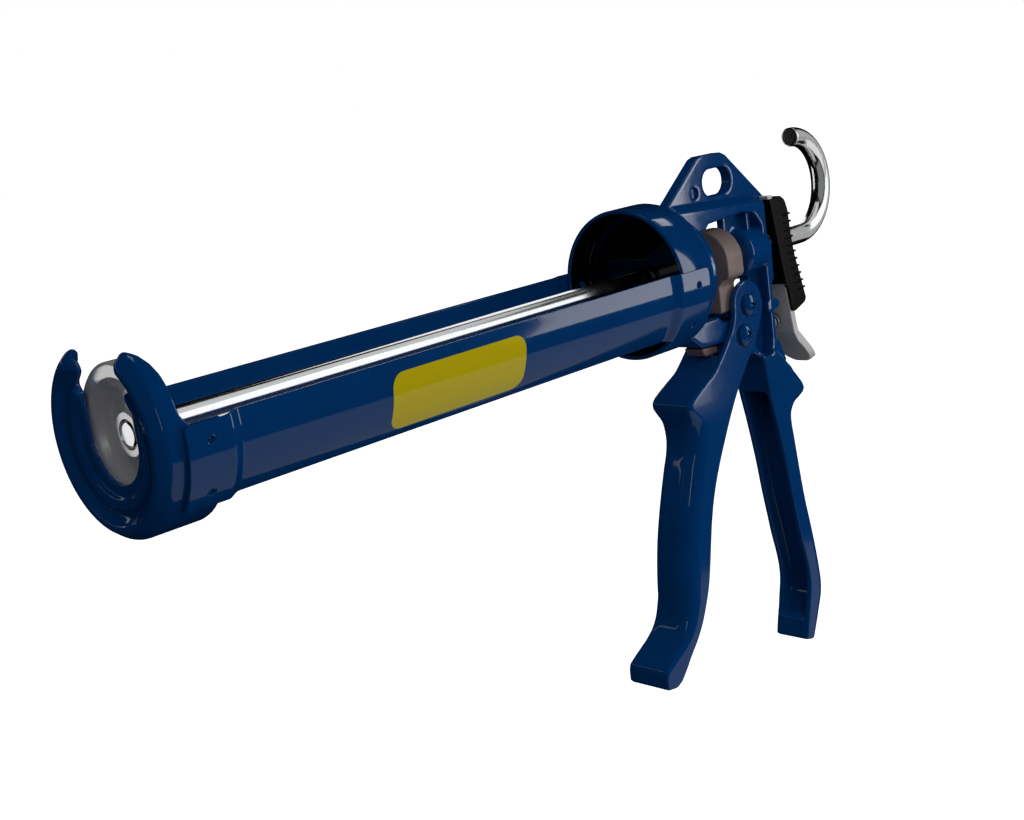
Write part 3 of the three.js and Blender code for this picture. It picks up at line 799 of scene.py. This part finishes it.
foot_end = [(196.4, -154.2), (195.3, -153.0)]
trigger_side = Flat(np.concatenate([
    trigger_front, ear_top, trigger_rear, [(204.8, -153.3), (200.6, -155.2)], foot_end]), 0.25)
trigger_wide = Flat(np.concatenate([
    trigger_front, ear_top, [(300, -16), (320, -60), (300, -120), (222, -158.4)], foot_end]), 0.25)
trigger_hollow = Flat(np.concatenate([
    [(256.4, -36.9)],
    curve([(250.0, -40.0), (244.0, -43.6), (239.6, -47.4), (238.0, -51.4), (238.0, -55.4), (238.8, -60),
           (239.2, -66), (237.6, -72), (233.6, -82), (229.8, -94), (227.0, -107), (224.6, -119),
           (222.2, -127.6), (219.4, -134), (216.6, -140)]),
    [(222, -147), (245, -139), (270, -60), (296, -28), (296, 0), (240, 0), (240, -35.4), (250.6, -35.8)],
]), 0.25)


EAR_GAP_HALF = 7.3
GRIP_DEPTHS = [30, 44, 52, 58, 66, 125, 136, 143, 149]
GRIP_ROUNDING = [0.9, 1.4, 3.0, 7.0, 8.5, 8.5, 5.5, 3.0, 1.2]
SCREW_HOLES = ((*PIVOT, 2.75), (*THRUST, 2.25))


def trigger_field(x, y, z):
    """A lever with a rounded front, hollow behind, with two ears and their screw holes."""
    d = centred(trigger_wide(x, z), y, TRIGGER_HALF, np.interp(-z, GRIP_DEPTHS, GRIP_ROUNDING))
    d = meet(d, trigger_side(x, z), 0.9)
    d = cut(d, centred(trigger_hollow(x, z), y, EAR_GAP_HALF, 2.0 * ease((-z - 36) / 6)), 0.9)
    for cx, cz, r in SCREW_HOLES:
        d = cut(d, np.hypot(x - cx, z - cz) - r, 0.3)
    return d


trigger = surface("trigger_lever", trigger_field, (192, -10, -156), (282, 10, -8), 0.4)

HEAD_R = 4.7
HEAD_BASE = -9.9
DOME = Flat([
    (0, HEAD_BASE - 2.4),
    *[(HEAD_R * math.sin(a), HEAD_BASE - 2.4 * math.cos(a) ** 0.9)
      for a in np.linspace(0, math.pi / 2 - 0.12, 20)[1:]],
    (HEAD_R + 0.02, HEAD_BASE - 0.05), (HEAD_R - 0.15, HEAD_BASE), (0, HEAD_BASE)], 0.05, 2)


def screw(name, centre, shank, tilt):
    """A domed head with a cross recess, on a plain shank."""
    c, s = math.cos(math.radians(tilt)), math.sin(math.radians(tilt))

    def field(x, y, z):
        u, v = x - centre[0], z - centre[1]
        r = np.hypot(u, v)
        a, b = u * c + v * s, v * c - u * s
        narrowing = 0.5 * np.maximum(y + 10.9, 0)
        cross = np.minimum(
            np.maximum(np.abs(a) - 2.05 + narrowing, np.abs(b) - 0.42),
            np.maximum(np.abs(b) - 2.05 + narrowing, np.abs(a) - 0.42))
        d = cut(DOME(r, y), meet(cross, y + 11.0, 0.1), 0.12)
        return join(d, slab(r - shank, y, -10.2, 9.4, 0.3), 0.1)

    x, z = centre
    return surface(name, field, (x - 5, -12.6, z - 5), (x + 5, 9.6, z + 5), 0.22)


screws = [screw("screw_pivot", PIVOT, 2.5, 20), screw("screw_thrust", THRUST, 2.0, -15)]


def ring_y(name, centre, r_in, r_out, half):
    """A plain sleeve about a line along Y, with its edges broken."""
    c = 0.3
    profile = [(r_in, -half + c), (r_in + c, -half), (r_out - c, -half), (r_out, -half + c),
               (r_out, half - c), (r_out - c, half), (r_in + c, half), (r_in, half - c)]
    a = 2 * np.pi * np.arange(64) / 64
    R = [[(centre[0] + r * math.cos(t), y, centre[1] + r * math.sin(t)) for t in a] for r, y in profile]
    obj = rings_mesh(name, R + [R[0]], 30, caps=False)
    weld = obj.modifiers.new("weld", "WELD")
    weld.merge_threshold = 1e-6
    return outward(baked(obj))


roller = ring_y("roller", THRUST, 2.25, 3.6, 5.2)
bush = ring_y("bush", PIVOT, 2.75, 3.1, 6.9)
block_side = Flat(path([(245, -31.9), (254.6, -32.4), (255.5, -35.2, 0.8), (247.2, -35.4, 1.5)]), 0.1)


def block_field(x, y, z):
    return centred(block_side(x, z), y, 4.4, 0.5)


block = surface("rest_pad", block_field, (244, -5, -36), (256, 5, -31), 0.3)

# ---------------- release lever, pad and springs

LEVER_HALF = high("release_lever")[1]
LEVER_THICK = 3.2


def lever_x(z):
    """The lever's front face leans back as it goes down."""
    return 294.5 + (18 - z) * 0.176


lever_side = Flat(path([
    (lever_x(20.2), 20.2), (lever_x(-38), -38, 1.5), (306.6, -41.8, 1.5), (318.8, -53.6), (321.0, -51.3),
    (310.7, -40.6, 3), (lever_x(-37.4) + LEVER_THICK, -37.4, 3), (lever_x(20.2) + LEVER_THICK, 20.2),
]), 0.12)
lever_front = Flat(path([
    (-LEVER_HALF, 26), (-LEVER_HALF, -45, 5),
    *[(LEVER_HALF * math.sin(a) * 0.98, -45.9 - 8.2 * math.cos(a) ** 0.8)
      for a in np.linspace(-1.35, 1.35, 25)],
    (LEVER_HALF, -45, 5), (LEVER_HALF, 26)]), 0.15)


def lever_field(x, y, z):
    d = centred(lever_side(x, z), y, LEVER_HALF, 0.35)
    d = meet(d, lever_front(y, z), 0.5)
    d = cut(d, np.hypot(y, z - 0.2) - (ROD_R + 1), 0.4)
    notch = meet(np.abs(y) - 2.9, 15.4 - z)
    return cut(d, notch, 0.4)


lever = surface("lever_plate", lever_field, (293, -8, -54), (322, 8, 21), 0.36)

pad_side = Flat(np.concatenate([
    [(lever_x(18.8) - 1, 18.8), (lever_x(-18.3) - 1, -18.3),
     (lever_x(-18.3), -18.3), (lever_x(-27.6), -27.6)],
    path([(lever_x(-28.4), -28.4), (305.4, -29.2, 0.8), (312.8, -26.8, 1.2), (314.2, -25.0, 1.2),
          (311, -14, 20), (308.6, -6, 20), (307.2, 2, 20), (306.4, 13, 6), (304.8, 17.4, 3),
          (302.2, 19.2, 1.5), (300.0, 19.2)]),
]), 0.12)
FIT = 0.25
gap_side = Flat([
    (lever_x(22) - FIT, 22), (lever_x(-16.8) - FIT, -16.8), (lever_x(-16.8) - 4, -16.8),
    (lever_x(-32) - 4, -32), (lever_x(-32) + LEVER_THICK + FIT, -32),
    (lever_x(22) + LEVER_THICK + FIT, 22)], 0.12)
PAD_HALF = 8.5
RIB_PITCH = 3.15
RIB_HALF = 0.42
RIB_TOP = 11.4
RIB_COUNT = 11


def pad_rear(z):
    return np.interp(z, [-25, -6, 2, 13], [313.8, 308.6, 307.2, 306.4])


def pad_field(x, y, z):
    """A block moulded round the lever, with ribs across its rear face."""
    d = centred(pad_side(x, z), y, PAD_HALF, 0.9)
    place = (z - RIB_TOP) / RIB_PITCH
    off = (place - np.clip(np.round(place), 1 - RIB_COUNT, 0)) * RIB_PITCH
    rib = meet(np.abs(off) - RIB_HALF, pad_side(x, z) - 0.62, 0.3)
    rib = meet(meet(rib, np.abs(y) - PAD_HALF - 0.32, 0.3), pad_rear(z) - 5.4 - x, 0.3)
    d = join(d, rib, 0.25)
    d = cut(d, centred(gap_side(x, z), y, LEVER_HALF + FIT, 0), 0.2)
    d = cut(d, np.hypot(y, z - 1.2) - (ROD_R + 1.6), 0.4)
    notch = meet(meet(np.abs(y) - 3.0, 15.2 - z), x - 301)
    return cut(d, notch, 0.2)


pad = surface("pad_ribbed", pad_field, (292, -9.2, -30), (315.6, 9.2, 20), 0.3)


def spring(name, x0, x1, z, radius, wire, turns):
    """A coil about X, with its end turns closed up flat."""
    line = []
    for t in np.linspace(0, 1, turns * 36):
        a = 2 * math.pi * turns * t
        rise = np.interp(t, [0, 0.16, 0.84, 1], [0, 0.05, 0.95, 1])
        line.append((x0 + wire + (x1 - x0 - 2 * wire) * rise, radius * math.cos(a), z + radius * math.sin(a)))
    return tube(name, line, [wire] * len(line), 14)


dog_coil = spring("coil_dog", low("dog_spring")[0], high("dog_spring")[0], 0, 6.3, 0.68, 5)
lever_coil = spring("coil_lever", low("lever_spring")[0], high("lever_spring")[0], -32.5, 2.6, 0.53, 5)

# ---------------- rivets and cup screws

RIVET_HEAD = [(1.5, 0.16), (1.42, 0.04), (1.3, 0), (1.2, 0.03), (1.08, 0.2), (0.8, 0.9), (0.4, 1.15)]
rivets = {}
for end, hand, level in RIVETS:
    node = f"rivet_{end}_{hand}_{level}"
    place = rivet_place(node)
    profile = [(1.35, 25.9), (1.42, 27.0), (1.5, 27.4), *[(r, FLANGE_R - down) for r, down in RIVET_HEAD]]
    rivets[node] = outward(radial("head_" + node, profile, *place))


def cup_screw(name, z):
    """A small countersunk screw seen inside the cup."""
    profile = path([
        (220.95, 0.01), (220.95, 1.7, 0.3), (221.3, 2.5), (221.75, 2.9, 0.2), (222.05, 2.9, 0.2),
        (222.1, 1.8), (231.6, 1.8, 0.3), (231.6, 0.01)])
    obj = lathe(name, profile, 48, 40)
    obj.data.transform(Matrix.Translation((0, 0, z * MM)))
    cutters = []
    for half_y, half_z in ((1.6, 0.36), (0.36, 1.6)):
        bpy.ops.mesh.primitive_cube_add(size=1, location=(0.2208, 0, z * MM))
        c = bpy.context.object
        c.scale = (1.4 * MM, 2 * half_y * MM, 2 * half_z * MM)
        bpy.ops.object.transform_apply(location=True, rotation=True, scale=True)
        cutters.append(c)
    bore(obj, cutters)
    obj.data.set_sharp_from_angle(angle=math.radians(40))
    return obj


cup_screws = {
    f"cup_screw_{k}": cup_screw(f"cup_bolt_{k}", (low(f"cup_screw_{k}")[2] + high(f"cup_screw_{k}")[2]) / 2)
    for k in ("upper", "lower")}

# ---------------- finishes

def rail_label(nodes, links, colour):
    """A plain rounded label on the left rail, drawn from the rail's own coordinates."""
    where = nodes.new("ShaderNodeTexCoord")
    split = nodes.new("ShaderNodeSeparateXYZ")
    links.new(where.outputs["Object"], split.inputs["Vector"])

    def calc(kind, a, b=None):
        n = nodes.new("ShaderNodeMath")
        n.operation = kind
        for socket, v in zip(n.inputs, (a, b)):
            if v is None:
                continue
            if hasattr(v, "is_linked"):
                links.new(v, socket)
            else:
                socket.default_value = v
        return n.outputs[0]

    along = calc("SUBTRACT", split.outputs["X"], LABEL_X * MM)
    round_part = calc("ARCTAN2", split.outputs["Z"], calc("MULTIPLY", split.outputs["Y"], -1.0))
    up = calc("SUBTRACT", calc("MULTIPLY", round_part, BARREL_R * MM), LABEL_UP * MM)
    u, v = (
        calc("MAXIMUM", calc("SUBTRACT", calc("ABSOLUTE", value), (half - LABEL_CORNER) * MM), 0.0)
        for value, half in zip((along, up), LABEL_HALF))
    reach = calc("SQRT", calc("ADD", calc("MULTIPLY", u, u), calc("MULTIPLY", v, v)))
    shape = remap(nodes, links, reach, (LABEL_CORNER - 0.1) * MM, (LABEL_CORNER + 0.1) * MM, 1, 0)
    yy = calc("MULTIPLY", split.outputs["Y"], split.outputs["Y"])
    zz = calc("MULTIPLY", split.outputs["Z"], split.outputs["Z"])
    outside = calc("GREATER_THAN", calc("ADD", yy, zz), ((BARREL_R - 0.3) * MM) ** 2)
    return blend_colour(nodes, links, calc("MULTIPLY", shape, outside), colour, YELLOW)


def painted_shade_inside(nodes, links, colour):
    """The cup's inner wall and floor are coloured near black, a painted shade for the cup's unlit hollow."""
    where = nodes.new("ShaderNodeTexCoord")
    split = nodes.new("ShaderNodeVectorMath")
    split.operation = "MULTIPLY"
    split.inputs[1].default_value = (0, 1, 1)
    links.new(where.outputs["Object"], split.inputs[0])
    size = nodes.new("ShaderNodeVectorMath")
    size.operation = "LENGTH"
    links.new(split.outputs[0], size.inputs[0])
    along = nodes.new("ShaderNodeSeparateXYZ")
    links.new(where.outputs["Object"], along.inputs["Vector"])

    def behind(x0, x1):
        return remap(nodes, links, along.outputs["X"], x0 * MM, x1 * MM, 0, 1)

    wall = remap(nodes, links, size.outputs["Value"], (BARREL_R - 1.45) * MM, (BARREL_R - 1.2) * MM, 1, 0)
    wall = blend_colour(nodes, links, behind(209.0, 209.6), (0, 0, 0), wall)
    shade = blend_colour(nodes, links, behind(222.4, 222.8), wall, (0, 0, 0))
    # painted shade: the masked inner wall and floor take the near-black colour
    return blend_colour(nodes, links, shade, colour, SHADE_BLACK)


paint = paint_material("navy_enamel")
# this enamel carries painted shade inside the rear cup
paint_cup = paint_material("navy_enamel_dark_inside", painted_shade_inside)
paint_label = paint_material("navy_enamel_label", rail_label)
chrome = metal_material("chrome_plate", (0.86, 0.87, 0.88), 0.03, (0.13, 0.17), 160, (1, 1, 1), 0.004)
dish = metal_material("turned_plate", (0.75, 0.75, 0.75), 0.06, (0.16, 0.24), 200, (6, 1, 1), 0.02, 0.65)
steel = metal_material("zinc_steel", (0.5, 0.51, 0.53), 0.15, (0.3, 0.42), 200)
sintered = metal_material("sintered_iron", (0.37, 0.285, 0.27), 0.22, (0.42, 0.6), 300, (1, 1, 1), 0.2, 0.35)
brushed = metal_material("brushed_plate", (0.66, 0.66, 0.65), 0.25, (0.34, 0.46), 150, (1, 14, 1), 0.12, 0.3)
rubber = metal_material("black_pad", (0.003, 0.003, 0.004), 0.3, (0.3, 0.42), 300, (1, 1, 1), 0.12, 0.0)
rubber.node_tree.nodes["Principled BSDF"].inputs["Specular IOR Level"].default_value = 0.15
# near black, a painted shade: the cup screws stand in for the dark recesses in the cup floor
dark = metal_material("black_screw_painted_shade", (0.03, 0.03, 0.035), 0.3, (0.35, 0.5), 200, (1, 1, 1), 0.05, 0.5)

finish_piece(cap, "body", "paint", paint, "front_cap")
finish_piece(rails["left"], "body", "paint", paint_label, "rail_left")
finish_piece(rails["right"], "body", "paint", paint, "rail_right")
for node, obj in rivets.items():
    finish_piece(obj, "body", "paint", paint, node)
finish_piece(cup, "body", "paint", paint_cup, "rear_cup")
for node, obj in cup_screws.items():
    finish_piece(obj, "body", "dark_screw", dark, node)
finish_piece(casting, "body", "paint", paint, "frame_casting")
finish_piece(bush, "body", "steel", steel, "pivot_bush")
finish_piece(block, "body", "sintered", sintered, "rest_block")
finish_piece(dog_coil, "body", "steel", steel, "dog_spring")
finish_piece(lever_coil, "body", "steel", steel, "lever_spring")
finish_piece(rod, "rod", "chrome", chrome, "push_rod", "rod_hook")
finish_piece(plate, "rod", "chrome", dish, "plunger_plate")
finish_piece(nut_front, "rod", "chrome", dish, "plunger_nut")
finish_piece(nut_rear, "rod", "steel", steel, "plunger_rear_nut")
finish_piece(dog, "dog", "sintered", sintered, "drive_dog")
finish_piece(trigger, "trigger", "paint", paint, "trigger")
finish_piece(screws[0], "trigger", "paint", paint, "pivot_screw")
finish_piece(screws[1], "trigger", "paint", paint, "thrust_screw")
finish_piece(roller, "trigger", "steel", steel, "thrust_roller")
finish_piece(lever, "lever", "lever_plate", brushed, "release_lever")
finish_piece(pad, "lever", "pad", rubber, "thumb_pad")
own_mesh(dog_coil)
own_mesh(lever_coil)

# ---------------- camera

CAMERA_AT = (-185.13, -336.69, 75.26)
azimuth, elevation, roll = (math.radians(v) for v in (-44.26337, 12.62859, -7.91712))
back = Vector((
    math.sin(azimuth) * math.cos(elevation), -math.cos(azimuth) * math.cos(elevation), math.sin(elevation)))
level = (-back).cross(Vector((0, 0, 1))).normalized()
upright = level.cross(-back)
right = level * math.cos(roll) + upright * math.sin(roll)
up = upright * math.cos(roll) - level * math.sin(roll)
lens = bpy.data.cameras.new("camera")
lens.lens = 49.782
lens.sensor_width = 36
lens.clip_start = 0.01
lens.clip_end = 20
camera = bpy.data.objects.new("camera", lens)
scene.collection.objects.link(camera)
spin = Matrix((right, up, back)).transposed().to_4x4()
camera.matrix_world = Matrix.Translation(Vector(CAMERA_AT) * MM) @ spin
scene.camera = camera

# ---------------- floor and light

FLOOR_Z = cad_low[2] - 0.3
FLOOR_HALF = 30
corners = [(a * FLOOR_HALF, b * FLOOR_HALF, FLOOR_Z) for a, b in ((-1, -1), (1, -1), (1, 1), (-1, 1))]
mesh = bpy.data.meshes.new("floor")
mesh.from_pydata(corners, [], [(0, 1, 2, 3)])
floor = bpy.data.objects.new("floor", mesh)
scene.collection.objects.link(floor)
floor_mat, nodes, links, shader = material("pale_floor", Roughness=0.9, Emission_Strength=1.05)
shader.inputs["Specular IOR Level"].default_value = 0.1
shader.inputs["Emission Color"].default_value = (1, 1, 1, 1)
tint = noise(nodes, links, 3, 2)
pale = blend_colour(nodes, links, tint, (0.93, 0.93, 0.93), (0.95, 0.95, 0.95))
links.new(pale, shader.inputs["Base Color"])
floor.data.materials.append(floor_mat)
floor.visible_glossy = False
floor.visible_diffuse = False


def group_of(name, objects):
    group = bpy.data.collections.new(name)
    for obj in objects:
        group.objects.link(obj)
    return group


shiny = group_of("shiny_metal", [rod, plate, nut_front, nut_rear, lever, lever_coil, dog_coil])
front_metal = group_of("front_metal", [plate, nut_front])
facing_metal = group_of("facing_metal", [plate, nut_front, rod])
hook_metal = group_of("hook_metal", [rod, lever])
painted = group_of("painted", [obj for obj in made if obj.name not in shiny.objects])
cast_paint = group_of("cast_paint", [casting])
trigger_paint = group_of("trigger_paint", [trigger])


def softbox(name, position, target, size, radiance, receivers=None, gloss=True):
    """A rectangular light of a given brightness, never seen directly."""
    light = bpy.data.lights.new(name, "AREA")
    light.shape = "RECTANGLE"
    light.size, light.size_y = size
    light.energy = radiance * math.pi * size[0] * size[1]
    obj = bpy.data.objects.new(name, light)
    obj.location = position
    obj.rotation_mode = "QUATERNION"
    obj.rotation_quaternion = (Vector(target) - Vector(position)).to_track_quat("-Z", "Y")
    obj.visible_camera = False
    obj.visible_glossy = gloss
    if receivers is not None:
        obj.light_linking.receiver_collection = receivers
    scene.collection.objects.link(obj)


# Each panel stands at its first place, faces its second and is given its size and brightness. The
# panels that glossy paint reflects would be too strong in bare metal, so each has its receivers.
middle = (cad_low + cad_high) / 2
softbox("side_panel", (0.722, -0.484, 0.12), (0.24, -0.01, 0.12), (0.18, 0.56), 2.3, painted)
softbox("high_strip", (0.76, 0.03, 0.45), (0.215, 0, 0.03), (0.14, 0.06), 2.0, painted)
softbox("ground_card", (0.35, -0.35, -0.5), (0.2, 0, 0), (0.9, 0.5), 0.26, painted)
softbox("front_lamp", (-0.55, -1.0, 0.35), (0.22, 0, -0.05), (0.05, 0.45), 2.4, painted)
softbox("ring_lamp", (-0.5, 0.9, 0.45), (0, 0, 0), (1.4, 0.07), 0.75, painted)
softbox("lug_patch", (1.09, -0.705, -0.02), (1.09, 0, -0.02), (0.135, 0.133), 1.6, cast_paint)
softbox("grip_patch", (1.09, -0.71, -0.25), (1.09, 0, -0.25), (0.127, 0.143), 1.3, trigger_paint)
softbox("top_panel", (0.3, 0.1, 1.0), (0.2, 0, 0), (0.25, 0.25), 1.2, painted)
softbox("metal_wall", (0.8, -1.0, 0.62), (0.2, 0, 0.62), (1.1, 1.5), 1.15, shiny)
softbox("metal_low", (0.8, -1.0, -0.95), (0.2, 0, -0.95), (1.1, 1.5), 0.8, shiny)
softbox("metal_top", (0.5, -0.3, 1.5), (0.5, -0.3, 0), (2.4, 1.4), 0.6, shiny)
softbox("metal_under", (0.5, -0.3, -1.7), (0.5, -0.3, 0), (2.4, 1.2), 0.45, shiny)
softbox("metal_back", (-0.9, -1.1, 0.0), (0.3, 0, 0.05), (2.4, 3.0), 0.2, hook_metal)
softbox("metal_side", (1.8, -0.5, 0.1), (0.3, 0, 0.1), (0.9, 2.0), 0.4, hook_metal)
softbox("metal_front", (-0.55, 1.2, -0.25), (0, 0, 0), (0.6, 1.3), 0.95, facing_metal)
softbox("dish_lamp", (-0.7, -0.8, 0.35), (0.02, 0, 0), (0.5, 0.5), 3.2, front_metal)
softbox("key", (-0.1, -1.3, 0.9), middle, (0.9, 0.9), 1.9, gloss=False)
softbox("fill", (0.9, -0.5, -0.3), middle, (0.9, 0.9), 0.7, gloss=False)
softbox("back_key", (0.2, 1.4, 0.8), middle, (0.9, 0.9), 1.5, gloss=False)
softbox("metal_far", (1.3, 0.9, 0.5), middle, (0.5, 1.2), 1.0, shiny)

world = bpy.data.worlds.new("studio")
scene.world = world
world.use_nodes = True
nodes, links = world.node_tree.nodes, world.node_tree.links
rays = nodes.new("ShaderNodeLightPath")


def sky(level, fallback, switch):
    """A plain background that is used for one kind of ray."""
    shade = nodes.new("ShaderNodeBackground")
    shade.inputs["Color"].default_value = (1, 1, 1, 1)
    shade.inputs["Strength"].default_value = level
    pick = nodes.new("ShaderNodeMixShader")
    links.new(rays.outputs[switch], pick.inputs["Fac"])
    links.new(fallback, pick.inputs[1])
    links.new(shade.outputs[0], pick.inputs[2])
    return pick.outputs[0]


nodes["Background"].inputs["Strength"].default_value = 0.02
plain = nodes["Background"].outputs[0]
plain = sky(0.12, plain, "Is Diffuse Ray")
plain = sky(1.0, plain, "Is Camera Ray")
links.new(plain, nodes["World Output"].inputs["Surface"])
scene.view_settings.view_transform = "Standard"
